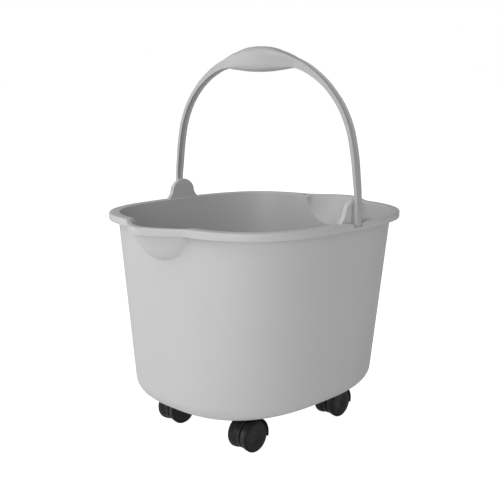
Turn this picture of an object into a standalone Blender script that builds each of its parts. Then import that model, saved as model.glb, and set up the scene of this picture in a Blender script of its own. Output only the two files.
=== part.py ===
"""Wash bucket on four twin-wheel casters, with a swinging bail handle.

Frame: +Z is up and Z = 0 is the floor. The handle's hinge line runs along X, the two pouring beaks
point to -Y (front) and +Y (back). All the constants are in millimetres; the meshes are in metres.
"""

import math

import bmesh
import bpy
import numpy as np
from mathutils import Matrix, Vector

MM = 0.001

# Tub: a rounded-square shell whose plan is a superellipse |x/a|^n + |y/b|^n = 1 at every height.
RIM_TOP = 270.2
TUB_BOTTOM = 45.9
WALL = 2.4
FLOOR_TOP = 48.4
WALL_TOP_HALF = (144.1, 152.0)
WALL_BOTTOM_HALF = (121.3, 146.8)
PLAN_POWER_TOP = 3.1
PLAN_POWER_BOTTOM = 2.64
BOTTOM_EDGE_R = 22.0
INNER_EDGE_R = 20.0

# Flange and its turned-down skirt.
FLANGE_OVERHANG = 9.3
FLANGE_THICK = 2.4
SKIRT_HEIGHT = 8.8
SKIRT_THICK = 2.0
FLANGE_EDGE_R = 1.6

# Pouring beaks at -Y and +Y: rounded nose in plan, with a channel that fades out down the wall.
BEAK_TIP = 187.0
BEAK_NOSE_R = 16.0
BEAK_SIDE_SLOPE = 0.8
BEAK_HALF_WIDTH = 50.0
BUMP_DEPTH, BUMP_HALF_WIDTH = 41.0, 48.0
CHANNEL_DEPTH, CHANNEL_HALF_WIDTH = 35.5, 44.0
BUMP_INSET, CHANNEL_INSET = 3.3, 5.6

# Handle ears: upright tabs on the +X and -X sides, with a pocket for the handle's leg.
PIVOT_Y = 8.5
PIVOT_Z = 272.1
EAR_INNER_X, EAR_OUTER_X = 143.2, 149.0
EAR_BASE_Z = 263.6
EAR_OUTLINE = (
    (27.0, 263.6), (25.4, 271.1), (21.6, 276.8), (18.8, 282.6), (16.6, 287.0),
    (13.6, 290.8), (9.6, 293.7), (5.0, 295.3), (0.0, 295.8),
)
POCKET_HALF, POCKET_BOTTOM, POCKET_BACK_X = 7.4, 264.5, 148.8
GROOVE_INNER, GROOVE_DEPTH, GROOVE_TOP = 5.1, 3.6, 290.6
RAMP_HALF, RAMP_FALL = 18.5, 1.8
SOCKET_R, SOCKET_DEPTH = 4.1, 3.6

# Bail handle: outer and inner arch as (half-width X, height Z), from the leg's end to the middle.
OUTER_ARCH = (
    (154.2, 265.2), (154.1, 282.6), (153.4, 299.6), (151.2, 320.6), (148.4, 343.6),
    (141.6, 372.1), (130.2, 395.6), (115.3, 414.2), (97.6, 430.0), (76.5, 443.4),
    (57.0, 451.6), (37.0, 459.1), (19.0, 464.0), (0.0, 465.6),
)
INNER_ARCH = (
    (149.4, 265.2), (149.4, 282.6), (149.3, 299.6), (146.9, 320.6), (143.6, 343.1),
    (137.2, 369.3), (126.4, 391.8), (112.2, 409.6), (95.2, 423.8), (75.2, 434.6),
    (56.0, 439.9), (36.0, 438.0), (18.0, 436.2), (0.0, 435.6),
)
LEG_HALF_WIDTH = 4.5
GRIP_HALF_LENGTH, GRIP_HALF_WIDTH = 58.0, 13.0
ARCH_CHANNEL_DEPTH = 1.3
STUD_R, STUD_TIP_X = 3.8, 145.9

# Casters: housing that swivels on an upright stem, two disc wheels on one axle behind the stem.
CASTER_X = 63.5
CASTER_Y = 77.8
TRAIL = 9.0
WHEEL_R = 19.0
WHEEL_INNER_X, WHEEL_OUTER_X = 3.2, 14.6
HUB_BORE_R, HUB_BORE_END_X = 2.3, 11.0
AXLE_R, AXLE_HALF = 2.0, 10.7
HOOD_INNER_R, HOOD_OUTER_R, HOOD_HALF_WIDTH = 20.3, 22.5, 13.9
HOOD_START, HOOD_END = -8.0, 104.0
WEB_R, WEB_HALF = 15.4, 2.6
NECK_R, NECK_TOP, NECK_BOTTOM = 9.5, 44.3, 39.5
STEM_R, STEM_BOTTOM, STEM_TOP = 4.0, 39.7, 71.2
STEM_HOLE_R, STEM_HOLE_BOTTOM = 4.3, 39.4
SLEEVE_OUTER_R, SLEEVE_INNER_R = 5.6, 4.3
SLEEVE_HEAD_R, SLEEVE_HEAD_BOTTOM, SLEEVE_HEAD_TOP, SLEEVE_TOP = 8.0, 44.6, 45.6, 71.8
SOCKET_BORE_R, SOCKET_BORE_TOP = 5.9, 72.2
BOSS_R_BOTTOM, BOSS_R_TOP, BOSS_TOP = 9.6, 8.4, 75.0

ROUND_STEPS = 20
CORNERS = {
    "front_left": (-1, -1),
    "front_right": (1, -1),
    "back_left": (-1, 1),
    "back_right": (1, 1),
}


# ---------------------------------------------------------------- helpers

def clear_scene():
    for obj in list(bpy.data.objects):
        bpy.data.objects.remove(obj, do_unlink=True)


def plain_material(name, colour, roughness, metallic=0.0):
    made = bpy.data.materials.new(name)
    made.use_nodes = True
    shader = made.node_tree.nodes["Principled BSDF"]
    shader.inputs["Base Color"].default_value = (*colour, 1.0)
    shader.inputs["Roughness"].default_value = roughness
    shader.inputs["Metallic"].default_value = metallic
    made.diffuse_color = (*colour, 1.0)
    return made


def loft(rows):
    """Closed body through rows of points (mm): each row is a ring, or one point that closes an end."""
    body = bmesh.new()
    rings = [[body.verts.new(np.asarray(p, float) * MM) for p in row] for row in rows]
    for low, high in zip(rings, rings[1:]):
        count = max(len(low), len(high))
        for i in range(count):
            j = (i + 1) % count
            if len(low) == 1:
                body.faces.new((low[0], high[j], high[i]))
            elif len(high) == 1:
                body.faces.new((low[i], low[j], high[0]))
            else:
                body.faces.new((low[i], low[j], high[j], high[i]))
    if len(rings[0]) > 1:
        body.faces.new(rings[0][::-1])
    if len(rings[-1]) > 1:
        body.faces.new(rings[-1])
    bmesh.ops.recalc_face_normals(body, faces=body.faces)
    return body


def turned(profile, steps=ROUND_STEPS, centre=(0.0, 0.0, 0.0), along="Z"):
    """Body of revolution: profile is (radius, distance along the axis), closed at both ends."""
    turn = np.linspace(0, 2 * math.pi, steps, endpoint=False)
    rows = []
    for radius, height in profile:
        if radius == 0:
            ring = np.array([[0.0, 0.0, height]])
        else:
            ring = np.stack(
                [radius * np.cos(turn), radius * np.sin(turn), np.full(steps, height)], axis=1
            )
        if along == "X":
            ring = ring[:, [2, 0, 1]]
        rows.append(ring + centre)
    return loft(rows)


def prism(outline, x_from, x_to):
    """Straight body along X with the outline given as (y, z)."""
    return loft([[(x, y, z) for y, z in outline] for x in (x_from, x_to)])


def block(x, y, z):
    """Box from (low, high) pairs."""
    return prism(((y[0], z[0]), (y[1], z[0]), (y[1], z[1]), (y[0], z[1])), x[0], x[1])


def mirrored_x(body):
    bmesh.ops.scale(body, vec=(-1, 1, 1), verts=body.verts)
    bmesh.ops.reverse_faces(body, faces=body.faces)
    return body


def new_object(name, body):
    mesh = bpy.data.meshes.new(name)
    body.to_mesh(mesh)
    body.free()
    obj = bpy.data.objects.new(name, mesh)
    bpy.context.scene.collection.objects.link(obj)
    return obj


def combine(obj, others, operation):
    """Unites the bodies with obj, or cuts them from it, and keeps the result as obj's own mesh."""
    for number, other in enumerate(others):
        tool = new_object(f"{obj.name}_tool_{number}", other)
        tool.hide_render = True
        tool.display_type = "WIRE"
        step = obj.modifiers.new(f"step_{number}", "BOOLEAN")
        step.operation = operation
        step.solver = "EXACT"
        step.object = tool
        graph = bpy.context.evaluated_depsgraph_get()
        result = bpy.data.meshes.new_from_object(obj.evaluated_get(graph))
        obj.modifiers.clear()
        obj.data = result
        bpy.data.objects.remove(tool, do_unlink=True)


def finish(obj, look, origin=(0.0, 0.0, 0.0), sharp_angle=32.0):
    """Smooth shading with sharp edges, the material, and the origin moved to the given point (mm)."""
    shift = Vector(origin) * MM
    obj.data.transform(Matrix.Translation(-shift))
    obj.location = shift
    obj.data.materials.clear()
    obj.data.materials.append(look)
    obj.data.shade_smooth()
    obj.data.set_sharp_from_angle(angle=math.radians(sharp_angle))
    return obj


# ---------------------------------------------------------------- tub

BEAK_STATIONS = np.array([0.0, 7.0, 14.0, 21.0, 28.0, 35.0, 41.0, 45.5, 49.0, 52.0, 56.0])
SIDE_STATIONS = 9


def quarter_plan(half_x, half_y, power):
    """Points of one quarter of the superellipse, from the beak's centre line round to the X axis."""
    x = BEAK_STATIONS
    y = half_y * (1 - (x / half_x) ** power) ** (1 / power)
    start = math.atan2(y[-1], x[-1])
    turn = start * (1 - np.arange(1, SIDE_STATIONS + 1) / SIDE_STATIONS)
    radius = ((np.cos(turn) / half_x) ** power + (np.sin(turn) / half_y) ** power) ** (-1 / power)
    return np.append(x, radius * np.cos(turn)), np.append(y, radius * np.sin(turn))


def nose_line(x, inset):
    """Plan of the beak: a rounded nose with straight sides, moved in by the inset along its normal."""
    run = np.sqrt(BEAK_NOSE_R**2 + (BEAK_SIDE_SLOPE * x) ** 2)
    lean = BEAK_SIDE_SLOPE**2 * x / run
    return BEAK_TIP + BEAK_NOSE_R - run - inset * np.sqrt(1 + lean**2)


def full_ring(x, y, z):
    """The whole ring from its quarter, counter-clockwise from the +X axis."""
    quarter = np.stack([x, y], axis=1)
    ring = np.concatenate(
        [
            quarter[::-1],
            quarter[1:] * (-1, 1),
            quarter[-2::-1] * (-1, -1),
            quarter[1:-1] * (1, -1),
        ]
    )
    return np.column_stack([ring, np.full(len(ring), z)])


def wall_size(z, inset):
    """Half-sizes and power of the outer wall's plan at height z, moved in by the inset."""
    share = (z - TUB_BOTTOM) / (RIM_TOP - TUB_BOTTOM)
    half_x = WALL_BOTTOM_HALF[0] + share * (WALL_TOP_HALF[0] - WALL_BOTTOM_HALF[0]) - inset
    half_y = WALL_BOTTOM_HALF[1] + share * (WALL_TOP_HALF[1] - WALL_BOTTOM_HALF[1]) - inset
    return half_x, half_y, PLAN_POWER_BOTTOM + share * (PLAN_POWER_TOP - PLAN_POWER_BOTTOM)


def wall_ring(z, inset, beak_inset, depth, half_width):
    """Ring of the wall, swollen towards the beak by a bowl that is `depth` deep and fades out."""
    x, y = quarter_plan(*wall_size(z, inset))
    below_rim = RIM_TOP - z
    reach = depth * np.clip(1 - (x / half_width) ** 2, 0, 1) + 2.5
    share = np.clip(1 - below_rim / reach, 0, 1) ** 0.8
    share[np.abs(x) > BEAK_HALF_WIDTH] = 0
    swell = np.maximum(nose_line(x, beak_inset) - y, 0)
    return full_ring(x, y + swell * share, z)


def skirt_ring(z, inset):
    """Ring of the flange's outer edge: the wider superellipse joined with the beak's nose."""
    half_x = WALL_TOP_HALF[0] + FLANGE_OVERHANG - inset
    half_y = WALL_TOP_HALF[1] + FLANGE_OVERHANG - inset
    x, y = quarter_plan(half_x, half_y, PLAN_POWER_TOP)
    nose = nose_line(x, inset)
    joined = 0.5 * (y + nose + np.sqrt((y - nose) ** 2 + 1.5**2))
    return full_ring(x, np.where(x < BEAK_STATIONS[-1] + 0.1, joined, y), z)


def tub_rows():
    """Rings from the middle of the underside, up the outside, over the flange and down the inside."""
    rows = []
    outer = (0.0, BUMP_INSET, BUMP_DEPTH, BUMP_HALF_WIDTH)
    inner = (WALL, CHANNEL_INSET, CHANNEL_DEPTH, CHANNEL_HALF_WIDTH)
    for turn in np.radians([90, 65, 42, 20]):
        inset = BOTTOM_EDGE_R * (1 - math.cos(turn))
        rows.append(wall_ring(TUB_BOTTOM + BOTTOM_EDGE_R * (1 - math.sin(turn)), inset, *outer[1:]))
    for z in (TUB_BOTTOM + BOTTOM_EDGE_R, 148.0, 223.6, 231.6, 240.6, 250.6, 259.6):
        rows.append(wall_ring(z, *outer))
    rows.append(wall_ring(RIM_TOP - FLANGE_THICK, *outer))
    rows.append(skirt_ring(RIM_TOP - FLANGE_THICK, SKIRT_THICK))
    rows.append(skirt_ring(RIM_TOP - SKIRT_HEIGHT, SKIRT_THICK))
    rows.append(skirt_ring(RIM_TOP - SKIRT_HEIGHT, 0.0))
    rows.append(skirt_ring(RIM_TOP - FLANGE_EDGE_R, 0.0))
    rows.append(skirt_ring(RIM_TOP - 0.3 * FLANGE_EDGE_R, 0.3 * FLANGE_EDGE_R))
    rows.append(skirt_ring(RIM_TOP, FLANGE_EDGE_R))
    rows.append(wall_ring(RIM_TOP, WALL - 1.2, CHANNEL_INSET - 1.0, *inner[2:]))
    for z in (RIM_TOP - 1.2, 262.6, 253.6, 244.6, 235.6, 223.6, 148.0):
        rows.append(wall_ring(z, *inner))
    for turn in np.radians([0, 22, 45, 68, 90]):
        inset = WALL + INNER_EDGE_R * (1 - math.cos(turn))
        rows.append(wall_ring(FLOOR_TOP + INNER_EDGE_R * (1 - math.sin(turn)), inset, *inner[1:]))
    return rows


def ear_body():
    """Upright tab on the +X side, rooted in the flange."""
    right = [(PIVOT_Y + w, z) for w, z in EAR_OUTLINE]
    left = [(PIVOT_Y - w, z) for w, z in EAR_OUTLINE[:-1]]
    body = prism(right + left[::-1], EAR_INNER_X, EAR_OUTER_X)
    upper = [edge for edge in body.edges if min(v.co.z for v in edge.verts) > 270.5 * MM]
    rim = [edge for edge in upper if abs(edge.verts[0].co.x - edge.verts[1].co.x) < 1e-6]
    bmesh.ops.bevel(body, geom=rim, offset=0.8 * MM, segments=1, affect="EDGES", clamp_overlap=True)
    return body


def pocket_tools():
    """What is taken out of the +X ear and the flange for the handle's leg and its stud."""
    far = EAR_OUTER_X + 9.0
    half = POCKET_HALF
    pocket = block((POCKET_BACK_X, far), (PIVOT_Y - half, PIVOT_Y + half), (POCKET_BOTTOM, PIVOT_Z + 3))
    ramp = prism(
        (
            (PIVOT_Y - RAMP_HALF, RIM_TOP + 0.2),
            (PIVOT_Y - half + 0.5, RIM_TOP - RAMP_FALL),
            (PIVOT_Y + half - 0.5, RIM_TOP - RAMP_FALL),
            (PIVOT_Y + RAMP_HALF, RIM_TOP + 0.2),
            (PIVOT_Y, RIM_TOP + 7.0),
        ),
        POCKET_BACK_X,
        far,
    )
    tools = [pocket, ramp]
    for side in (-1, 1):
        ends = sorted((PIVOT_Y + side * GROOVE_INNER, PIVOT_Y + side * half))
        across = (EAR_OUTER_X - GROOVE_DEPTH, EAR_OUTER_X + 3.0)
        tools.append(block(across, ends, (POCKET_BOTTOM + 0.4, GROOVE_TOP)))
    socket = ((0, EAR_OUTER_X - SOCKET_DEPTH), (SOCKET_R, EAR_OUTER_X - SOCKET_DEPTH))
    socket += ((SOCKET_R, EAR_OUTER_X + 3.0), (0, EAR_OUTER_X + 3.0))
    tools.append(turned(socket, centre=(0, PIVOT_Y, PIVOT_Z), along="X"))
    return tools


def stem_places():
    """Where each caster's stem stands: name, x, y."""
    for name, (side, end) in CORNERS.items():
        yield name, side * CASTER_X, PIVOT_Y + end * CASTER_Y


def make_tub(look):
    tub = new_object("tub", loft(tub_rows()))
    bosses = []
    bores = []
    for _, x, y in stem_places():
        boss = ((0, FLOOR_TOP - 1.2), (BOSS_R_BOTTOM, FLOOR_TOP - 1.2), (BOSS_R_TOP, BOSS_TOP - 1.5))
        boss += ((BOSS_R_TOP - 1.5, BOSS_TOP), (0, BOSS_TOP))
        bosses.append(turned(boss, centre=(x, y, 0)))
        bore = ((0, TUB_BOTTOM - 4), (SOCKET_BORE_R, TUB_BOTTOM - 4))
        bore += ((SOCKET_BORE_R, SOCKET_BORE_TOP), (0, SOCKET_BORE_TOP))
        bores.append(turned(bore, centre=(x, y, 0)))
    combine(tub, [ear_body(), mirrored_x(ear_body())] + bosses, "UNION")
    combine(tub, pocket_tools() + [mirrored_x(tool) for tool in pocket_tools()] + bores, "DIFFERENCE")
    return finish(tub, look)


# ---------------------------------------------------------------- bail handle

def smooth_curve(points, share):
    """Catmull-Rom curve through the points, at the given shares of the point count."""
    points = np.asarray(points, float)
    ended = np.concatenate([[2 * points[0] - points[1]], points, [2 * points[-1] - points[-2]]])
    place = np.clip(share, 0, len(points) - 1.000001)
    first = place.astype(int)
    t = (place - first)[:, None]
    a, b, c, d = (ended[first + k] for k in range(4))
    return 0.5 * (2 * b + (c - a) * t + (2 * a - 5 * b + 4 * c - d) * t**2 + (3 * b - a - 3 * c + d) * t**3)


def handle_section(outer, inner, half_width, edge, channel):
    """Ring across the bar: rounded rectangle between the two arches, hollowed on its outer face."""
    middle = (outer + inner) / 2
    out = (outer - inner) / 2
    half = np.linalg.norm(out)
    out = out / half
    edge = min(edge, half * 0.8, half_width * 0.8)
    flat = half_width - edge
    side = [
        (0.0, half - channel), (0.5 * flat, half - channel), (0.8 * flat, half), (flat, half),
        (half_width - 0.29 * edge, half - 0.29 * edge), (half_width, half - edge),
        (half_width, edge - half), (half_width - 0.29 * edge, 0.29 * edge - half),
        (flat, -half), (0.0, -half),
    ]
    around = side + [(-v, u) for v, u in side[-2:0:-1]]
    return [(middle[0] + u * out[0], PIVOT_Y + v, middle[1] + u * out[1]) for v, u in around]


def handle_rows():
    """Rings along the bar, from the -X leg's end over the grip to the +X leg's end."""
    share = np.concatenate([[0, 0.05, 0.16, 0.6], np.arange(1.4, 9.2, 0.85), np.arange(9.5, 12.9, 0.5)])
    share = np.append(share, len(OUTER_ARCH) - 1)
    outer = smooth_curve(OUTER_ARCH, share)
    inner = smooth_curve(INNER_ARCH, share)
    outer[-1, 0] = inner[-1, 0] = 0.0
    rows = []
    for place, high, low in zip(share, outer, inner):
        lens = max(0.0, 1 - (high[0] / GRIP_HALF_LENGTH) ** 2)
        half_width = LEG_HALF_WIDTH + (GRIP_HALF_WIDTH - LEG_HALF_WIDTH) * lens
        half_width = min(half_width, 2.6 + 12 * place) if place < 0.2 else half_width
        edge = 1.3 + 4.7 * lens
        fade = min(1.0, max(0.0, (high[1] - 322.6) / 50)) * min(1.0, max(0.0, (high[0] - 20) / 20))
        rows.append(handle_section(high, low, half_width, edge, ARCH_CHANNEL_DEPTH * fade))
    mirrored = [[(-x, y, z) for x, y, z in row] for row in rows]
    return mirrored + rows[-2::-1]


def make_handle(look):
    handle = new_object("bail_handle", loft(handle_rows()))
    stud = ((0, STUD_TIP_X), (STUD_R - 0.5, STUD_TIP_X), (STUD_R, STUD_TIP_X + 0.5))
    stud += ((STUD_R, OUTER_ARCH[0][0] - 2.0), (0, OUTER_ARCH[0][0] - 2.0))
    studs = [turned(stud, centre=(0, PIVOT_Y, PIVOT_Z), along="X") for _ in range(2)]
    mirrored_x(studs[1])
    combine(handle, studs, "UNION")
    return finish(handle, look, origin=(0, PIVOT_Y, PIVOT_Z))


# ---------------------------------------------------------------- casters

def arc(radius, start, end, steps, y, z):
    """Points (y, z) of an arc about (y, z); 0 degrees points up and 90 degrees to +Y."""
    turn = np.radians(np.linspace(start, end, steps))
    return [(y + radius * math.sin(t), z + radius * math.cos(t)) for t in turn]


def make_housing(name, x, y, look):
    """Hood over the two wheels, the web between them and the neck that holds the stem."""
    axle_y = y - TRAIL
    outline = arc(HOOD_OUTER_R, HOOD_START, HOOD_END, 9, axle_y, WHEEL_R)
    outline += arc(HOOD_INNER_R, HOOD_END, HOOD_START, 9, axle_y, WHEEL_R)
    housing = new_object(name, prism(outline, x - HOOD_HALF_WIDTH, x + HOOD_HALF_WIDTH))
    web = arc(HOOD_INNER_R + 1.0, HOOD_START + 5, HOOD_END - 5, 7, axle_y, WHEEL_R)
    web += arc(WEB_R, HOOD_END + 10, 360 + HOOD_START - 10, 10, axle_y, WHEEL_R)
    shoulder = arc(HOOD_INNER_R + 1.1, -3.0, 49.0, 5, axle_y, WHEEL_R)
    shoulder += [(y + 9.2, NECK_BOTTOM + 1.4), (y - 9.0, NECK_BOTTOM + 1.4)]
    neck = ((0, NECK_BOTTOM), (NECK_R, NECK_BOTTOM))
    neck += ((NECK_R, NECK_TOP - 0.8), (NECK_R - 0.8, NECK_TOP), (0, NECK_TOP))
    parts = [prism(web, x - WEB_HALF, x + WEB_HALF), prism(shoulder, x - 8.8, x + 8.8)]
    combine(housing, parts + [turned(neck, 16, (x, y, 0))], "UNION")
    hole = ((0, STEM_HOLE_BOTTOM), (STEM_HOLE_R, STEM_HOLE_BOTTOM), (STEM_HOLE_R, 50), (0, 50))
    bore = ((0, -6), (AXLE_R + 0.15, -6), (AXLE_R + 0.15, 6), (0, 6))
    tools = [turned(hole, 16, (x, y, 0)), turned(bore, 12, (x, axle_y, WHEEL_R), "X")]
    combine(housing, tools, "DIFFERENCE")
    return finish(housing, look, origin=(x, y, 0))


def make_wheel(name, x, y, side, look):
    """Disc wheel on one side of the web: tread largest by the face, dished face, blind bore."""
    profile = (
        (0, HUB_BORE_END_X), (HUB_BORE_R, HUB_BORE_END_X), (HUB_BORE_R, WHEEL_INNER_X),
        (WHEEL_R - 3.2, WHEEL_INNER_X), (WHEEL_R - 2.4, WHEEL_INNER_X + 0.6),
        (WHEEL_R - 1.0, WHEEL_INNER_X + 4.2), (WHEEL_R, WHEEL_OUTER_X - 1.6),
        (WHEEL_R - 0.9, WHEEL_OUTER_X - 0.2), (WHEEL_R - 1.4, WHEEL_OUTER_X),
        (6.0, WHEEL_OUTER_X - 0.4), (0, WHEEL_OUTER_X - 0.2),
    )
    body = turned(profile, ROUND_STEPS, (0, 0, 0), "X")
    if side < 0:
        mirrored_x(body)
    bmesh.ops.translate(body, vec=np.array([x, y - TRAIL, WHEEL_R]) * MM, verts=body.verts)
    return finish(new_object(name, body), look, origin=(x, y - TRAIL, WHEEL_R))


def tube(profile, steps, centre):
    """Ring-shaped body of revolution about Z: the profile closes on itself and has a hole through."""
    turn = np.linspace(0, 2 * math.pi, steps, endpoint=False)
    body = bmesh.new()
    rings = []
    for radius, height in profile:
        ring = np.stack([radius * np.cos(turn), radius * np.sin(turn), np.full(steps, height)], axis=1)
        rings.append([body.verts.new(p * MM) for p in ring + centre])
    for low, high in zip(rings, rings[1:] + rings[:1]):
        for i in range(steps):
            j = (i + 1) % steps
            body.faces.new((low[i], low[j], high[j], high[i]))
    bmesh.ops.recalc_face_normals(body, faces=body.faces)
    return body


def make_pin_work(corner, x, y, steel, sleeve_look):
    """Axle, stem and grip sleeve of one caster."""
    axle = ((0, -AXLE_HALF), (AXLE_R, -AXLE_HALF), (AXLE_R, AXLE_HALF), (0, AXLE_HALF))
    body = turned(axle, 12, (x, y - TRAIL, WHEEL_R), "X")
    finish(new_object(f"wheel_axle_{corner}", body), steel, (x, y - TRAIL, WHEEL_R))
    stem = ((0, STEM_BOTTOM), (STEM_R, STEM_BOTTOM), (STEM_R, STEM_TOP - 1.5))
    stem += ((STEM_R - 1.5, STEM_TOP), (0, STEM_TOP))
    finish(new_object(f"caster_stem_{corner}", turned(stem, 16, (x, y, 0))), steel, (x, y, 0))
    sleeve = (
        (SLEEVE_INNER_R, SLEEVE_HEAD_BOTTOM), (SLEEVE_HEAD_R, SLEEVE_HEAD_BOTTOM),
        (SLEEVE_HEAD_R, SLEEVE_HEAD_TOP), (SLEEVE_OUTER_R, SLEEVE_HEAD_TOP + 0.01),
        (SLEEVE_OUTER_R, SLEEVE_TOP), (SLEEVE_INNER_R, SLEEVE_TOP),
    )
    body = tube(sleeve, 16, (x, y, 0))
    finish(new_object(f"stem_sleeve_{corner}", body), sleeve_look, (x, y, 0))


# ---------------------------------------------------------------- the object

clear_scene()
tub_plastic = plain_material("tub_polypropylene", (0.60, 0.61, 0.60), 0.42)
handle_plastic = plain_material("handle_polypropylene", (0.58, 0.59, 0.58), 0.40)
housing_nylon = plain_material("housing_nylon", (0.035, 0.035, 0.037), 0.45)
wheel_plastic = plain_material("wheel_plastic", (0.020, 0.020, 0.021), 0.35)
zinc_steel = plain_material("zinc_plated_steel", (0.62, 0.62, 0.60), 0.30, 1.0)
sleeve_plastic = plain_material("sleeve_acetal", (0.70, 0.69, 0.64), 0.45)

make_tub(tub_plastic)
make_handle(handle_plastic)
for corner_name, stem_x, stem_y in stem_places():
    make_housing(f"caster_housing_{corner_name}", stem_x, stem_y, housing_nylon)
    inward = -1 if stem_x > 0 else 1
    make_wheel(f"wheel_{corner_name}_inner", stem_x, stem_y, inward, wheel_plastic)
    make_wheel(f"wheel_{corner_name}_outer", stem_x, stem_y, -inward, wheel_plastic)
    make_pin_work(corner_name, stem_x, stem_y, zinc_steel, sleeve_plastic)
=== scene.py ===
import math

import bmesh
import bpy
import numpy as np
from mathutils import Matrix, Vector


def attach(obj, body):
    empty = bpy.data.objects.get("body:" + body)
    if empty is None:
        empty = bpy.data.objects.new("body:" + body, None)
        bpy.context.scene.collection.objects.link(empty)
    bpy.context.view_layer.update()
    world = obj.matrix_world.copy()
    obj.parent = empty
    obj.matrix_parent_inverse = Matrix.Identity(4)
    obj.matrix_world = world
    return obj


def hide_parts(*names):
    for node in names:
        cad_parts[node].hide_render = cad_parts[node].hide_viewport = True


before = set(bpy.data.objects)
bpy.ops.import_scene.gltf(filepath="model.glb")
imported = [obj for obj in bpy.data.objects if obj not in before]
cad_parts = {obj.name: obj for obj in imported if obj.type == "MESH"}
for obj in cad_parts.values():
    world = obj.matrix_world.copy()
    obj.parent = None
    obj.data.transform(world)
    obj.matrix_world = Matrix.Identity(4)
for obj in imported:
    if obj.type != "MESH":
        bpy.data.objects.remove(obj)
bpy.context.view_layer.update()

# ------------------------------------------------------------------------------------------------
# Tub: one injection moulding in pale grey polypropylene. Its wall leans out to a flat flange with a
# turned-down skirt, and a pouring beak swells out of the wall at each end. All lengths are in mm.
# ------------------------------------------------------------------------------------------------

MM = 0.001
RIM_TOP, TUB_BOTTOM, FLOOR_TOP = 270.2, 45.9, 48.4
WALL = 2.4
WALL_TOP_HALF, WALL_BOTTOM_HALF = (144.1, 152.0), (121.3, 146.8)
POWER_TOP, POWER_BOTTOM = 3.1, 2.64
BOTTOM_EDGE_R, INNER_EDGE_R = 22.0, 20.0
OVERHANG, FLANGE_THICK, SKIRT_HEIGHT, SKIRT_THICK = 9.3, 2.4, 8.8, 2.0
TOP_EDGE_R, SKIRT_EDGE_R, LIP_R = 1.9, 0.7, 1.1
BEAK_TIP, NOSE_R, BOWL_R, NOSE_SLOPE, BEAK_HALF = 187.0, 16.0, 26.0, 0.8, 50.5
BUMP_DEPTH, BUMP_HALF, BUMP_INSET = 38.0, 46.0, 6.5
CHANNEL_DEPTH, CHANNEL_HALF, CHANNEL_INSET = 34.5, 44.0, 8.9
BEAK_FOOT, BEAK_SWELL, NOSE_BLEND = 2.5, 0.55, 1.2
BEAK_POINTS = np.concatenate([
    np.linspace(0, 36, 19), np.linspace(37.4, 53, 14), [54.6, 56.6, 59.0, 62.0]
])
SIDE_POINTS = 44
OUTER_PLAIN, OUTER_BEAK_LOW = (69, 222), 227
INNER_PLAIN, INNER_BEAK_LOW, LIP_FOOT = (224, 70), 230, 2.2
SHARP_DEGREES = 38.0


def skin(name, grid, sharp=SHARP_DEGREES):
    """Closed mesh over rings of points. grid[i, j] is place j on ring i; each ring joins its own
    start, and each end ring is closed by a fan to its mean point."""
    rings, round_ = grid.shape[:2]
    points = grid.reshape(-1, 3) * MM
    i, j = np.meshgrid(np.arange(rings - 1), np.arange(round_), indexing="ij")
    here, after, beside = i * round_, (i + 1) * round_, (j + 1) % round_
    quads = np.stack([here + j, here + beside, after + beside, after + j], -1)
    faces = quads.reshape(-1, 4).tolist()
    points = np.concatenate([points, [points[:round_].mean(0), points[-round_:].mean(0)]])
    first, last = len(points) - 2, len(points) - 1
    turn = np.arange(round_)
    low = np.stack([(turn + 1) % round_, turn, np.full(round_, first)], -1)
    top = (rings - 1) * round_
    high = np.stack([top + turn, top + (turn + 1) % round_, np.full(round_, last)], -1)
    faces += low.tolist() + high.tolist()
    mesh = bpy.data.meshes.new(name)
    mesh.from_pydata(points, [], faces)
    return settle(bpy.data.objects.new(name, mesh), sharp)


def settle(piece, sharp=SHARP_DEGREES):
    """Links the piece, turns its faces outwards and shades it smooth but for its sharp edges."""
    if piece.name not in bpy.context.scene.collection.objects:
        bpy.context.scene.collection.objects.link(piece)
    body = bmesh.new()
    body.from_mesh(piece.data)
    bmesh.ops.remove_doubles(body, verts=body.verts, dist=1e-6)
    bmesh.ops.recalc_face_normals(body, faces=body.faces)
    if body.calc_volume(signed=True) < 0:
        bmesh.ops.reverse_faces(body, faces=body.faces)
    body.to_mesh(piece.data)
    body.free()
    piece.data.shade_smooth()
    piece.data.set_sharp_from_angle(angle=math.radians(sharp))
    return piece


def carve(piece, tools, sharp=SHARP_DEGREES):
    """Takes the tools out of the piece, removes them, and leaves one plain mesh."""
    for tool in tools:
        step = piece.modifiers.new("carve", "BOOLEAN")
        step.operation, step.solver, step.object = "DIFFERENCE", "EXACT", tool
        seen = piece.evaluated_get(bpy.context.evaluated_depsgraph_get())
        result = bpy.data.meshes.new_from_object(seen)
        piece.modifiers.clear()
        piece.data = result
        bpy.data.objects.remove(tool, do_unlink=True)
    piece.data.name = piece.name
    return settle(piece, sharp)


def plan(half_x, half_y, power):
    """Quarter of the superellipse |x/a|^n + |y/b|^n = 1: closely spaced x near the beak, then equal
    turns about the middle down to the X axis."""
    x = BEAK_POINTS
    y = half_y * (1 - (x / half_x) ** power) ** (1 / power)
    turn = math.atan2(y[-1], x[-1]) * (1 - np.arange(1, SIDE_POINTS + 1) / SIDE_POINTS)
    radius = ((np.cos(turn) / half_x) ** power + (np.sin(turn) / half_y) ** power) ** (-1 / power)
    return np.append(x, radius * np.cos(turn)), np.append(y, radius * np.sin(turn))


def nose(x, inset, r):
    """Plan of a beak: tip + r - sqrt(r^2 + (slope x)^2), moved in by the inset along its normal."""
    run = np.sqrt(r**2 + (NOSE_SLOPE * x) ** 2)
    return BEAK_TIP + r - run - inset * np.sqrt(1 + (NOSE_SLOPE**2 * x / run) ** 2)


def ring(x, y, z):
    """Whole ring from its quarter, counter-clockwise from +X, at height z."""
    q = np.stack([x, y], axis=1)
    around = np.concatenate([q[::-1], q[1:] * (-1, 1), q[-2::-1] * (-1, -1), q[1:-1] * (1, -1)])
    return np.column_stack([around, np.full(len(around), z)])


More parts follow.
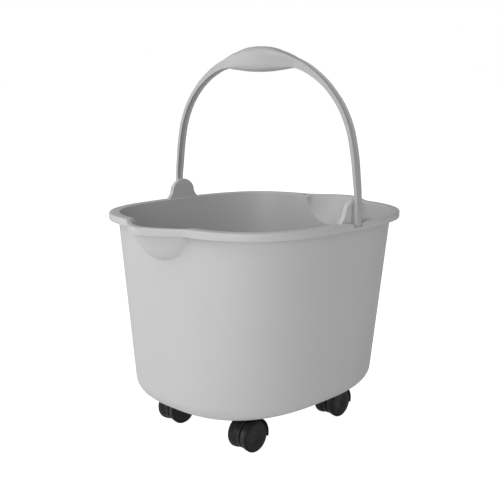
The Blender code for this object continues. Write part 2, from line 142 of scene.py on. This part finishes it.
def wall_ring(z, inset, beak_inset, depth, half_width):
    """Wall at height z: half-sizes and power grow evenly with z, and near the beak the wall moves
    out towards the nose by (1 - h / reach(x))^0.55, with h the depth below the rim and reach(x) the
    half ellipse depth * sqrt(1 - (x / half_width)^2) plus the beak's foot."""
    share = (z - TUB_BOTTOM) / (RIM_TOP - TUB_BOTTOM)
    low, high = np.array(WALL_BOTTOM_HALF), np.array(WALL_TOP_HALF)
    half = low + share * (high - low) - inset
    x, y = plan(half[0], half[1], POWER_BOTTOM + share * (POWER_TOP - POWER_BOTTOM))
    reach = depth * np.sqrt(np.clip(1 - (x / half_width) ** 2, 0, 1)) + BEAK_FOOT
    drop = np.clip(1 - (RIM_TOP - z) / reach, 0, 1)
    swell = np.where(x < BEAK_HALF, drop**BEAK_SWELL, 0)
    grown = swell * np.maximum(nose(x, beak_inset, BOWL_R) - y, 0)
    return ring(x, y + grown, z)


def skirt_ring(z, inset):
    """Flange's outer edge: the wider superellipse joined with the nose by a soft maximum."""
    x, y = plan(WALL_TOP_HALF[0] + OVERHANG - inset, WALL_TOP_HALF[1] + OVERHANG - inset, POWER_TOP)
    front = nose(x, inset, NOSE_R)
    joined = 0.5 * (y + front + np.sqrt((y - front) ** 2 + NOSE_BLEND**2))
    return ring(x, np.where(x <= BEAK_POINTS[-1], joined, y), z)


def quarter_turns(steps, start=0.0, end=90.0):
    """Evenly spaced angles from start to end, given in degrees and returned in radians."""
    return np.radians(np.linspace(start, end, steps))


def tub_rings():
    """Rings up the outside, over the flange and down the inside to the middle of the floor."""
    outer = (BUMP_INSET, BUMP_DEPTH, BUMP_HALF)
    inner = (CHANNEL_INSET, CHANNEL_DEPTH, CHANNEL_HALF)
    rows = []
    for t in quarter_turns(10, 90, 8):
        z = TUB_BOTTOM + BOTTOM_EDGE_R * (1 - math.sin(t))
        rows.append(wall_ring(z, BOTTOM_EDGE_R * (1 - math.cos(t)), *outer))
    under, skirt_low = RIM_TOP - FLANGE_THICK, RIM_TOP - SKIRT_HEIGHT
    for z in np.concatenate([np.linspace(*OUTER_PLAIN, 10), np.linspace(OUTER_BEAK_LOW, under, 26)]):
        rows.append(wall_ring(z, 0.0, *outer))
    rows.append(skirt_ring(under, SKIRT_THICK))
    rows.append(skirt_ring(skirt_low + SKIRT_EDGE_R, SKIRT_THICK))
    for t in quarter_turns(5, 0, 90):
        z = skirt_low + SKIRT_EDGE_R * (1 - math.sin(t))
        rows.append(skirt_ring(z, SKIRT_THICK - SKIRT_EDGE_R * (1 - math.cos(t))))
    for t in quarter_turns(5, 90, 0):
        z = skirt_low + SKIRT_EDGE_R * (1 - math.sin(t))
        rows.append(skirt_ring(z, SKIRT_EDGE_R * (1 - math.cos(t))))
    for t in quarter_turns(8, 0, 90):
        z = RIM_TOP - TOP_EDGE_R * (1 - math.sin(t))
        rows.append(skirt_ring(z, TOP_EDGE_R * (1 - math.cos(t))))
    for t in quarter_turns(6, 90, 0):
        lip = LIP_R * (1 - math.cos(t))
        z = RIM_TOP - LIP_R * (1 - math.sin(t))
        rows.append(wall_ring(z, WALL - lip, CHANNEL_INSET - lip, *inner[1:]))
    lip_foot = RIM_TOP - LIP_FOOT
    for z in np.concatenate([np.linspace(lip_foot, INNER_BEAK_LOW, 26), np.linspace(*INNER_PLAIN, 10)]):
        rows.append(wall_ring(z, WALL, *inner))
    for t in quarter_turns(10, 4, 90):
        z = FLOOR_TOP + INNER_EDGE_R * (1 - math.sin(t))
        rows.append(wall_ring(z, WALL + INNER_EDGE_R * (1 - math.cos(t)), *inner))
    return np.stack(rows)


def shader_group(name, inputs, outputs):
    """Empty shader node group with the named sockets; returns it with its input and output nodes."""
    group = bpy.data.node_groups.new(name, "ShaderNodeTree")
    for label, kind, value in inputs:
        made = group.interface.new_socket(name=label, in_out="INPUT", socket_type=kind)
        made.default_value = value
    for label, kind in outputs:
        group.interface.new_socket(name=label, in_out="OUTPUT", socket_type=kind)
    return group, group.nodes.new("NodeGroupInput"), group.nodes.new("NodeGroupOutput")


def math_node(tree, operation, a, b=None, c=None):
    """Math node; each of a, b and c is a socket or a number. Returns its output."""
    node = tree.nodes.new("ShaderNodeMath")
    node.operation = operation
    for socket, value in zip(node.inputs, (a, b, c)):
        if value is None:
            continue
        if isinstance(value, (int, float)):
            socket.default_value = value
        else:
            tree.links.new(value, socket)
    return node.outputs[0]


def noise_node(tree, where, scale, detail=2.0, roughness=0.5):
    """Noise texture at the given scale; returns its value."""
    node = tree.nodes.new("ShaderNodeTexNoise")
    node.inputs["Detail"].default_value = detail
    node.inputs["Roughness"].default_value = roughness
    tree.links.new(where, node.inputs["Vector"])
    if isinstance(scale, (int, float)):
        node.inputs["Scale"].default_value = scale
    else:
        tree.links.new(scale, node.inputs["Scale"])
    return node.outputs["Fac"]


def moulded_skin_group():
    """Moulded plastic: colour mottled softly over a few centimetres and a fine
    spark-eroded grain that gives the height and unevens the roughness."""
    group, given, result = shader_group(
        "moulded_skin",
        [("Color", "NodeSocketColor", (0.6, 0.6, 0.6, 1)), ("Mottle", "NodeSocketFloat", 0.03),
         ("Roughness", "NodeSocketFloat", 0.4), ("Grain Scale", "NodeSocketFloat", 900.0)],
        [("Color", "NodeSocketColor"), ("Roughness", "NodeSocketFloat"),
         ("Height", "NodeSocketFloat")],
    )
    links = group.links
    place = group.nodes.new("ShaderNodeTexCoord").outputs["Object"]
    cloud = noise_node(group, place, 22.0, 3.0)
    grain = noise_node(group, place, given.outputs["Grain Scale"], 2.0, 0.6)
    speck = noise_node(group, place, 260.0, 1.0)
    shade = math_node(group, "SUBTRACT", cloud, 0.5)
    amount = math_node(group, "MULTIPLY_ADD", shade, given.outputs["Mottle"], 1.0)
    tint = group.nodes.new("ShaderNodeMix")
    tint.data_type, tint.blend_type = "RGBA", "MULTIPLY"
    tint.inputs["Factor"].default_value = 1.0
    links.new(given.outputs["Color"], tint.inputs[6])
    grey = group.nodes.new("ShaderNodeCombineColor")
    for socket in grey.inputs[:3]:
        links.new(amount, socket)
    links.new(grey.outputs["Color"], tint.inputs[7])
    links.new(tint.outputs[2], result.inputs["Color"])
    uneven = math_node(group, "SUBTRACT", speck, 0.5)
    rough = math_node(group, "MULTIPLY_ADD", uneven, 0.10, given.outputs["Roughness"])
    links.new(rough, result.inputs["Roughness"])
    links.new(grain, result.inputs["Height"])
    return group


def plastic(name, colour, roughness, mottle=0.03, grain_scale=900.0, grain_depth=0.02, specular=0.5):
    """Moulded plastic material; grain_depth is the bump's height in mm."""
    made = bpy.data.materials.new(name)
    made.use_nodes = True
    tree = made.node_tree
    shader = tree.nodes["Principled BSDF"]
    skin_node = tree.nodes.new("ShaderNodeGroup")
    skin_node.node_tree = bpy.data.node_groups.get("moulded_skin") or moulded_skin_group()
    skin_node.inputs["Color"].default_value = (*colour, 1)
    skin_node.inputs["Mottle"].default_value = mottle
    skin_node.inputs["Roughness"].default_value = roughness
    skin_node.inputs["Grain Scale"].default_value = grain_scale
    bump = tree.nodes.new("ShaderNodeBump")
    bump.inputs["Strength"].default_value = 0.5
    bump.inputs["Distance"].default_value = grain_depth * MM
    tree.links.new(skin_node.outputs["Color"], shader.inputs["Base Color"])
    tree.links.new(skin_node.outputs["Roughness"], shader.inputs["Roughness"])
    tree.links.new(skin_node.outputs["Height"], bump.inputs["Height"])
    tree.links.new(bump.outputs["Normal"], shader.inputs["Normal"])
    shader.inputs["Specular IOR Level"].default_value = specular
    made.diffuse_color = (*colour, 1)
    return made


def wear(piece, material, body, slot, *nodes):
    """Gives the piece its material, its body and the CAD nodes it stands for; slot is not used."""
    piece.data.materials.clear()
    piece.data.materials.append(material)
    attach(piece, body)
    if nodes:
        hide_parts(*nodes)
    return piece


PIVOT_Y, PIVOT_Z = 8.5, 272.1
EAR_INNER_X, EAR_OUTER_X, EAR_EDGE_R = 143.2, 149.0, 1.2
POCKET_HALF, POCKET_BOTTOM, POCKET_TOP, POCKET_BACK, POCKET_FRONT = 7.4, 264.5, 278, 148.8, 160.0
RAMP_HALF, RAMP_FALL, RAMP_HEAD = 18.5, 1.8, 8


def box_tool(name, low, high):
    """Plain block between two corners, for carving."""
    base = ((low[0], low[1]), (high[0], low[1]), (high[0], high[1]), (low[0], high[1]))
    return skin(name, np.array([[(x, y, z) for x, y in base] for z in (low[2], high[2])]))


tub_grey = plastic("tub_grey", (0.595, 0.603, 0.596), 0.36)
tub_shell = skin("tub_shell", tub_rings(), sharp=50)
for side in (-1, 1):
    ends = sorted((side * POCKET_BACK, side * POCKET_FRONT))
    low_corner = (ends[0], PIVOT_Y - POCKET_HALF, POCKET_BOTTOM)
    pocket = box_tool("pocket", low_corner, (ends[1], PIVOT_Y + POCKET_HALF, POCKET_TOP))
    slope = [
        (-RAMP_HALF, 0), (-POCKET_HALF, -RAMP_FALL), (POCKET_HALF, -RAMP_FALL),
        (RAMP_HALF, 0), (RAMP_HALF, RAMP_HEAD), (-RAMP_HALF, RAMP_HEAD),
    ]
    ramp = skin("ramp", np.array([[(x, PIVOT_Y + y, RIM_TOP + z) for y, z in slope] for x in ends]))
    carve(tub_shell, [pocket, ramp], sharp=50)
wear(tub_shell, tub_grey, "tub", "tub_polypropylene", "tub")

# ------------------------------------------------------------------------------------------------
# Ears: two upright tabs moulded with the tub on its flange, flared at the foot and rounded at the
# top. Each has a blind socket for the handle's stud and a groove each side of the handle's leg.
# ------------------------------------------------------------------------------------------------

EAR_TOP, EAR_FOOT_Z = 295.8, 265.1
EAR_HALF, CROWN_RUN = 17.2, 17.0
FLARE, FLARE_TOP, FLARE_RUN = 8.6, 280.6, 10.5
GROOVE_NEAR, GROOVE_FAR, GROOVE_DEPTH, GROOVE_TOP = 5.3, 7.4, 5.0, 290.6
SOCKET_R, SOCKET_DEPTH = 4.1, 3.6


def ear_outline(count, inset):
    """Ear seen along X, from the -Y foot over the top to the +Y foot, moved in by the inset. The
    half-width is (17.2 + 8.6 f^1.5) sqrt(1 - (1 - c)^2.2), where f = (280.6 - z) / 10.5 is the flare
    at the foot, held between 0 and 2, and c = (top - z) / 17 the crown, held between 0 and 1."""
    t = np.linspace(-1, 1, count)
    z = EAR_FOOT_Z + (EAR_TOP - EAR_FOOT_Z) * (1 - np.abs(t) ** 2.3)
    crown = np.clip((EAR_TOP - z) / CROWN_RUN, 0, 1)
    flare = np.clip((FLARE_TOP - z) / FLARE_RUN, 0, 2)
    width = (EAR_HALF + FLARE * flare**1.5) * np.sqrt(1 - (1 - crown) ** 2.2)
    y = np.sign(t) * width
    tangent = np.stack([np.gradient(y), np.gradient(z)], 1)
    tangent /= np.linalg.norm(tangent, axis=1)[:, None]
    return y - inset * tangent[:, 1], z - inset * tangent[:, 0]


def ear_rings(side):
    """Outline carried across the tab's thickness, moved in along a quarter circle at both edges."""
    turns = quarter_turns(6)
    edge = [(EAR_EDGE_R * (1 - math.sin(t)), EAR_EDGE_R * (1 - math.cos(t))) for t in turns]
    steps = [(EAR_INNER_X + across, inset) for across, inset in edge[::-1]]
    steps += [(EAR_OUTER_X - across, inset) for across, inset in edge]
    rows = []
    for x, inset in steps:
        y, z = ear_outline(81, inset)
        rows.append(np.column_stack([np.full(len(y), side * x), PIVOT_Y + y, z]))
    return np.stack(rows)


def turned_rings(profile, steps, centre, along="Z"):
    """Profile (radius, distance) carried once round the axis: x = r cos, y = r sin, z = distance."""
    profile = np.asarray(profile, float)
    turn = np.linspace(0, 2 * np.pi, steps, endpoint=False)
    radius, distance = profile[:, :1], profile[:, 1:] + 0 * turn
    rows = np.stack([radius * np.cos(turn), radius * np.sin(turn), distance], -1)
    if along == "X":
        rows = rows[..., [2, 0, 1]]
    return rows + np.asarray(centre, float)


for side, label in ((-1, "left"), (1, "right")):
    ear = skin(f"ear_{label}", ear_rings(side))
    tools = []
    for flank in (-1, 1):
        low_x, high_x = sorted((side * (EAR_OUTER_X - GROOVE_DEPTH), side * (EAR_OUTER_X + 2)))
        low_y, high_y = sorted((PIVOT_Y + flank * GROOVE_NEAR, PIVOT_Y + flank * GROOVE_FAR))
        low_corner = (low_x, low_y, EAR_FOOT_Z - 1)
        tools.append(box_tool("groove", low_corner, (high_x, high_y, GROOVE_TOP)))
    socket = [(SOCKET_R, side * x) for x in (EAR_OUTER_X - SOCKET_DEPTH, EAR_OUTER_X + 1)]
    tools.append(skin("socket", turned_rings(socket, 48, (0, PIVOT_Y, PIVOT_Z), "X")))
    carve(ear, tools)
    wear(ear, tub_grey, "tub", "tub_polypropylene", "tub")

# ------------------------------------------------------------------------------------------------
# Bail handle: one moulding in the same polypropylene, a flat bar bent to an arch, with a shallow
# channel on its outer face and a thick lens-shaped grip. Studs on its ends snap into the ears.
# ------------------------------------------------------------------------------------------------

OUTER_ARCH = np.array([
    (154.2, 265.2), (154.1, 282.6), (153.4, 299.6), (151.2, 320.6), (148.4, 343.6),
    (141.6, 372.1), (130.2, 395.6), (115.3, 414.2), (97.6, 430.0), (76.5, 443.4),
    (57.0, 451.6), (37.0, 459.1), (19.0, 464.0), (0.0, 465.6), (-19.0, 464.0),
])
INNER_ARCH = np.array([
    (149.4, 265.2), (149.4, 282.6), (149.3, 299.6), (146.9, 320.6), (143.6, 343.1),
    (137.2, 369.3), (126.4, 391.8), (112.2, 409.6), (95.2, 423.8), (75.2, 434.6),
    (56.0, 439.9), (36.0, 438.0), (18.0, 436.2), (0.0, 435.6), (-18.0, 436.2),
])
FOOT_HALF, LEG_HALF, GRIP_HALF_LENGTH, GRIP_HALF = 4.5, 5.2, 58.0, 13.0
CHANNEL_DROP, HOLLOW_DEPTH = 1.0, 2.3
CHANNEL_SHARE, HOLLOW_SHARE = 0.62, 0.66
LEG_POWER, POWER_FALL, FOOT_SHARE = 14, 10.7, 0.16
STUD_R, STUD_TIP_X, STUD_ROOT_X = 3.8, 145.9, 151.5


def arch_curve(points, share):
    """Catmull-Rom curve through the points, at shares counted in points."""
    start = np.concatenate([[2 * points[0] - points[1]], points])
    first = np.clip(share.astype(int), 0, len(points) - 3)
    t = (share - first)[:, None]
    a, b, c, d = (start[first + k] for k in range(4))
    square, cube = 2 * a - 5 * b + 4 * c - d, 3 * b - a - 3 * c + d
    return 0.5 * (2 * b + (c - a) * t + square * t**2 + cube * t**3)


def rise(value, start, run):
    """0 up to the start, then evenly up to 1 over the run."""
    return np.clip((value - start) / run, 0, 1)


def handle_rings(along=150, round_=144):
    """Sections across the bar between the two arches. A section is the superellipse of power p, with
    p falling from 14 on the legs to 3.3 on the grip; the half-width swells as 1 - (x/58)^2 along the
    grip; the outer face sinks by a shallow flat-bottomed channel and the inner face is hollowed,
    and both fade out at the grip and above the pivot."""
    share = np.concatenate([[0, 0.012, 0.03, 0.06, 0.1], np.linspace(FOOT_SHARE, 13, along)])
    outer, inner = arch_curve(OUTER_ARCH, share), arch_curve(INNER_ARCH, share)
    middle, out = (outer + inner) / 2, (outer - inner) / 2
    half = np.linalg.norm(out, axis=1)
    out = out / half[:, None]
    lens = np.clip(1 - (outer[:, 0] / GRIP_HALF_LENGTH) ** 2, 0, 1)
    leg = FOOT_HALF + (LEG_HALF - FOOT_HALF) * rise(outer[:, 1], 293, 20)
    width = leg + (GRIP_HALF - leg) * lens
    end = rise(share, 0, FOOT_SHARE)
    width = width * np.sqrt(0.35 + 0.65 * (1 - (1 - end) ** 2))
    power = (LEG_POWER - POWER_FALL * np.clip(lens * 1.5, 0, 1) ** 0.5)[:, None]
    turn = np.linspace(0, 2 * np.pi, round_, endpoint=False)
    cos, sin = np.cos(turn), np.sin(turn)
    reach = (np.abs(cos)[None] ** power + np.abs(sin)[None] ** power) ** (-1 / power)
    v = width[:, None] * reach * cos
    u = half[:, None] * reach * sin
    fade = rise(outer[:, 1], 322.6, 50) * rise(outer[:, 0], 52, 24)
    channel = np.exp(-((v / (CHANNEL_SHARE * width[:, None])) ** 6)) * (sin > 0)
    u = u - CHANNEL_DROP * fade[:, None] * channel
    under = rise(outer[:, 1], 290, 14) * rise(outer[:, 0], 62, 16)
    hollow = np.exp(-((v / (HOLLOW_SHARE * width[:, None])) ** 8))
    u = u + HOLLOW_DEPTH * under[:, None] * hollow * (sin < 0)
    x = middle[:, :1] + u * out[:, :1]
    z = middle[:, 1:] + u * out[:, 1:]
    half_arch = np.stack([x, PIVOT_Y + v, z], -1)
    other = half_arch[:-1][::-1] * (-1, 1, 1)
    return np.concatenate([half_arch, other])


# The handle's grey is set darker than the tub's, 0.49 against 0.60.
handle_grey = plastic("handle_grey", (0.490, 0.497, 0.491), 0.34)
bail = skin("bail_bar", handle_rings(), sharp=45)
wear(bail, handle_grey, "bail", "handle_polypropylene", "bail_handle")
for side, label in ((-1, "left"), (1, "right")):
    stud = [
        (STUD_R - 0.5, STUD_TIP_X), (STUD_R - 0.15, STUD_TIP_X + 0.15),
        (STUD_R, STUD_TIP_X + 0.5), (STUD_R, STUD_ROOT_X),
    ]
    stud = [(r, side * x) for r, x in stud]
    pin = skin(f"bail_stud_{label}", turned_rings(stud, 48, (0, PIVOT_Y, PIVOT_Z), "X"))
    wear(pin, handle_grey, "bail", "handle_polypropylene", "bail_handle")

# ------------------------------------------------------------------------------------------------
# Caster wheels: eight discs moulded in black plastic, two to a caster, each with a smooth tread,
# rounded shoulders, and a face panel set in a ring-shaped groove. Each turns on the steel axle.
# ------------------------------------------------------------------------------------------------

CASTER_X, CASTER_Y, TRAIL, WHEEL_R = 63.5, 77.8, 9.0, 19.0
WHEEL_INNER, WHEEL_OUTER = 3.2, 14.6
TREAD_END, CROWN, SHOULDER_R = 12.9, 2.7, 1.3
BORE_R, BORE_END = 2.3, 11.0
CASTERS = {
    "front_left": (-CASTER_X, PIVOT_Y - CASTER_Y),
    "front_right": (CASTER_X, PIVOT_Y - CASTER_Y),
    "back_left": (-CASTER_X, PIVOT_Y + CASTER_Y),
    "back_right": (CASTER_X, PIVOT_Y + CASTER_Y),
}


def wheel_profile():
    """From the blind bore's end out round the tread to the middle of the flat face. The tread is
    crowned: r = 19 - 2.7 ((12.9 - x) / 9.7)^2, largest next to the face."""
    x = np.linspace(WHEEL_INNER, TREAD_END, 14)
    crown = WHEEL_R - CROWN * ((TREAD_END - x) / (TREAD_END - WHEEL_INNER)) ** 2
    tread = [(r - 0.5 * (k == 0), d) for k, (r, d) in enumerate(zip(crown, x))]
    shoulder = [
        (WHEEL_R - SHOULDER_R * (1 - math.cos(t)), WHEEL_OUTER - 0.4 - SHOULDER_R * (1 - math.sin(t)))
        for t in quarter_turns(7)
    ]
    face = [
        (17.6, 0.45), (17.45, 1.5), (16.95, 1.5), (16.8, 0.25), (16.4, 0.06),
        (12.0, 0.02), (4.4, 0.02), (4.0, 0.35), (3.6, 0.4), (0.5, 0.4),
    ]
    bore = [(0.4, BORE_END), (BORE_R, BORE_END), (BORE_R, WHEEL_INNER)]
    return bore + tread + shoulder + [(r, WHEEL_OUTER - sunk) for r, sunk in face]


wheel_black = plastic(
    "wheel_black", (0.012, 0.012, 0.013), 0.38, mottle=0.15, grain_scale=700, specular=0.35
)
for corner, (x, y) in CASTERS.items():
    for label, side in (("inner", -np.sign(x)), ("outer", np.sign(x))):
        profile = [(r, side * d) for r, d in wheel_profile()]
        rings = turned_rings(profile, 96, (x, y - TRAIL, WHEEL_R), "X")
        wheel = skin(f"wheel_disc_{corner}_{label}", rings, sharp=50)
        node = f"wheel_{corner}_{label}"
        wear(wheel, wheel_black, node, "wheel_plastic", node)

# ------------------------------------------------------------------------------------------------
# Caster housings: one black nylon moulding each, a hood that bends over the backs of the wheels, a
# web between them that carries the axle, and a shouldered neck that turns on the stem.
# ------------------------------------------------------------------------------------------------

HOOD_INNER_R, HOOD_OUTER_R, HOOD_HALF = 20.3, 22.5, 13.9
HOOD_START, HOOD_END = -8.0, 104.0
HOOD_POWER = 6
WEB_R, WEB_HALF, WEB_EDGE = 17.3, 2.6, 0.5
WEB_TOP_R, WEB_BLEND = 21.2, 14


def hood_rings(x, y, along=60, round_=40):
    """Rounded strip bent about the axle: the section is a superellipse of power 6 in (width, radius),
    carried through the hood's angles, with both ends drawn in."""
    turn = np.radians(np.linspace(HOOD_START, HOOD_END, along))[:, None]
    ends = np.minimum(np.arange(along), np.arange(along)[::-1])
    draw = np.sqrt(1 - (1 - np.clip(ends / 3.0, 0.12, 1)) ** 2)
    section = np.linspace(0, 2 * np.pi, round_, endpoint=False)
    cos, sin = np.cos(section), np.sin(section)
    reach = (np.abs(cos) ** HOOD_POWER + np.abs(sin) ** HOOD_POWER) ** (-1 / HOOD_POWER)
    across = HOOD_HALF * reach * cos
    half = (HOOD_OUTER_R - HOOD_INNER_R) / 2
    radius = (HOOD_OUTER_R + HOOD_INNER_R) / 2 + half * draw[:, None] * reach * sin
    back, up = radius * np.sin(turn), radius * np.cos(turn)
    return np.stack([x + across + 0 * radius, y - TRAIL + back, WHEEL_R + up], -1)


def web_rings(x, y, round_=120):
    """Plate between the wheels, 5.2 thick: its radius is 21.2 under the hood and falls to 17.3
    elsewhere by the smooth step 3 s^2 - 2 s^3."""
    turn = np.radians(np.linspace(0, 360, round_, endpoint=False))
    degrees = np.degrees(turn)
    hood_end = HOOD_END + WEB_BLEND
    inside = np.clip(np.minimum(degrees + WEB_BLEND, hood_end - degrees) / WEB_BLEND, 0, 1)
    inside = np.maximum(inside, np.clip((degrees - 360 + WEB_BLEND) / WEB_BLEND, 0, 1))
    radius = WEB_R + (WEB_TOP_R - WEB_R) * inside * inside * (3 - 2 * inside)
    flat = WEB_HALF - WEB_EDGE
    rows = []
    for across, inset in ((-WEB_HALF, WEB_EDGE), (-flat, 0), (flat, 0), (WEB_HALF, WEB_EDGE)):
        back, up = (radius - inset) * np.sin(turn), (radius - inset) * np.cos(turn)
        rows.append(np.column_stack([np.full(round_, x + across), y - TRAIL + back, WHEEL_R + up]))
    return np.stack(rows)


NECK = [
    (9.2, 38.9), (9.5, 40.6), (9.5, 43.5), (9.25, 44.1), (8.7, 44.3),
    (4.4, 44.3), (4.3, 44.2), (4.3, 39.5), (0.5, 39.45),
]
housing_black = plastic(
    "housing_black", (0.014, 0.014, 0.015), 0.42, mottle=0.12, grain_scale=600, specular=0.35
)
for corner, (x, y) in CASTERS.items():
    node, body = f"caster_housing_{corner}", f"caster_{corner}"
    hood = skin(f"hood_{corner}", hood_rings(x, y))
    web = skin(f"web_{corner}", web_rings(x, y))
    neck = skin(f"neck_{corner}", turned_rings(NECK, 64, (x, y, 0)))
    for piece in (hood, web, neck):
        wear(piece, housing_black, body, "housing_nylon", node)

# ------------------------------------------------------------------------------------------------
# Stems, axles and sleeves: zinc-plated steel pins and off-white acetal grip sleeves. They keep the
# shape of their solids and only take a finish. The tub drawn above has no bosses or bores for them,
# and the hoods no holes, so stems and sleeves stand bare above the tub's floor.
# ------------------------------------------------------------------------------------------------


def zinc_plate(name):
    """Drawn steel wire with bright zinc: fine streaks along Z unsettle roughness and metallic."""
    made = bpy.data.materials.new(name)
    made.use_nodes = True
    tree = made.node_tree
    shader = tree.nodes["Principled BSDF"]
    place = tree.nodes.new("ShaderNodeTexCoord").outputs["Object"]
    stretch = tree.nodes.new("ShaderNodeMapping")
    stretch.inputs["Scale"].default_value = (1, 1, 0.05)
    tree.links.new(place, stretch.inputs["Vector"])
    streak = noise_node(tree, stretch.outputs["Vector"], 900.0, 2.0)
    tree.links.new(math_node(tree, "MULTIPLY_ADD", streak, 0.2, 0.2), shader.inputs["Roughness"])
    tree.links.new(math_node(tree, "MULTIPLY_ADD", streak, 0.1, 0.9), shader.inputs["Metallic"])
    shader.inputs["Base Color"].default_value = (0.62, 0.62, 0.60, 1)
    return made


zinc = zinc_plate("zinc_plate")
acetal = plastic("sleeve_acetal", (0.70, 0.69, 0.64), 0.45)
for corner in CASTERS:
    for kind, look in (("caster_stem", zinc), ("wheel_axle", zinc), ("stem_sleeve", acetal)):
        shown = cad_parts[f"{kind}_{corner}"]
        shown.data.materials.clear()
        shown.data.materials.append(look)

# ------------------------------------------------------------------------------------------------
# Studio: a plain near-white floor, four large soft lights (two low ones at the front right and the
# left, one high at the front, a weak one overhead), an even pale surround, and the camera.
# ------------------------------------------------------------------------------------------------

FLOOR_HALF = 40
GLOW_SEEN, GLOW_CAST = 0.795, 0.125
SKY_CAST, SKY_SEEN = 0.25, 1.0
LAMP_TARGET, LAMP_SIZE = (0, 0, 0.2), 1.8

scene = bpy.context.scene
scene.view_settings.view_transform = "Standard"
floor_mesh = bpy.data.meshes.new("studio_floor")
floor_corners = [(FLOOR_HALF * x, FLOOR_HALF * y, 0) for x, y in ((-1, -1), (1, -1), (1, 1), (-1, 1))]
floor_mesh.from_pydata(floor_corners, [], [(0, 1, 2, 3)])
floor = bpy.data.objects.new("studio_floor", floor_mesh)
scene.collection.objects.link(floor)
floor_white = bpy.data.materials.new("floor_white")
floor_white.use_nodes = True
tree = floor_white.node_tree
paint = tree.nodes["Principled BSDF"]
paint.inputs["Base Color"].default_value = (0.85, 0.85, 0.85, 1)
paint.inputs["Roughness"].default_value = 0.9
paint.inputs["Specular IOR Level"].default_value = 0.0
paint.inputs["Emission Color"].default_value = (1, 1, 1, 1)
camera_ray = tree.nodes.new("ShaderNodeLightPath").outputs["Is Camera Ray"]
glow = math_node(tree, "MULTIPLY_ADD", camera_ray, GLOW_SEEN, GLOW_CAST)
tree.links.new(glow, paint.inputs["Emission Strength"])
floor_mesh.materials.append(floor_white)

world = bpy.data.worlds.new("studio")
scene.world = world
world.use_nodes = True
tree = world.node_tree
sky = tree.nodes["Background"]
sky.inputs["Color"].default_value = (1, 1, 1, 1)
sky.inputs["Strength"].default_value = SKY_CAST
seen = tree.nodes.new("ShaderNodeBackground")
seen.inputs["Color"].default_value = (1, 1, 1, 1)
seen.inputs["Strength"].default_value = SKY_SEEN
choose = tree.nodes.new("ShaderNodeMixShader")
camera_ray = tree.nodes.new("ShaderNodeLightPath").outputs["Is Camera Ray"]
tree.links.new(camera_ray, choose.inputs[0])
tree.links.new(sky.outputs[0], choose.inputs[1])
tree.links.new(seen.outputs[0], choose.inputs[2])
tree.links.new(choose.outputs[0], tree.nodes["World Output"].inputs["Surface"])


def soft_light(name, place, watts):
    """Square area light at a place, facing the middle of the tub."""
    data = bpy.data.lights.new(name, "AREA")
    data.size, data.energy = LAMP_SIZE, watts
    light = bpy.data.objects.new(name, data)
    light.location = place
    light.rotation_euler = (Vector(LAMP_TARGET) - Vector(place)).to_track_quat("-Z", "Y").to_euler()
    scene.collection.objects.link(light)


soft_light("low_front_right", (1.48, -2.56, 0.72), 29)
soft_light("high_front", (-0.55, -2.05, 2.32), 22)
soft_light("low_left", (-2.56, -1.48, 0.72), 20)
soft_light("overhead", (0.0, -0.01, 3.2), 12)

EYE, AIM = Vector((0.7461, -0.7633, 0.4275)), Vector((0, 0, 0.2202))
camera_data = bpy.data.cameras.new("camera")
camera_data.lens, camera_data.sensor_width = 63.04, 36.0
camera_data.shift_x, camera_data.shift_y = -0.0106, -0.0024
camera = bpy.data.objects.new("camera", camera_data)
camera.location = EYE
camera.rotation_euler = (AIM - EYE).to_track_quat("-Z", "Y").to_euler()
scene.collection.objects.link(camera)
scene.camera = camera
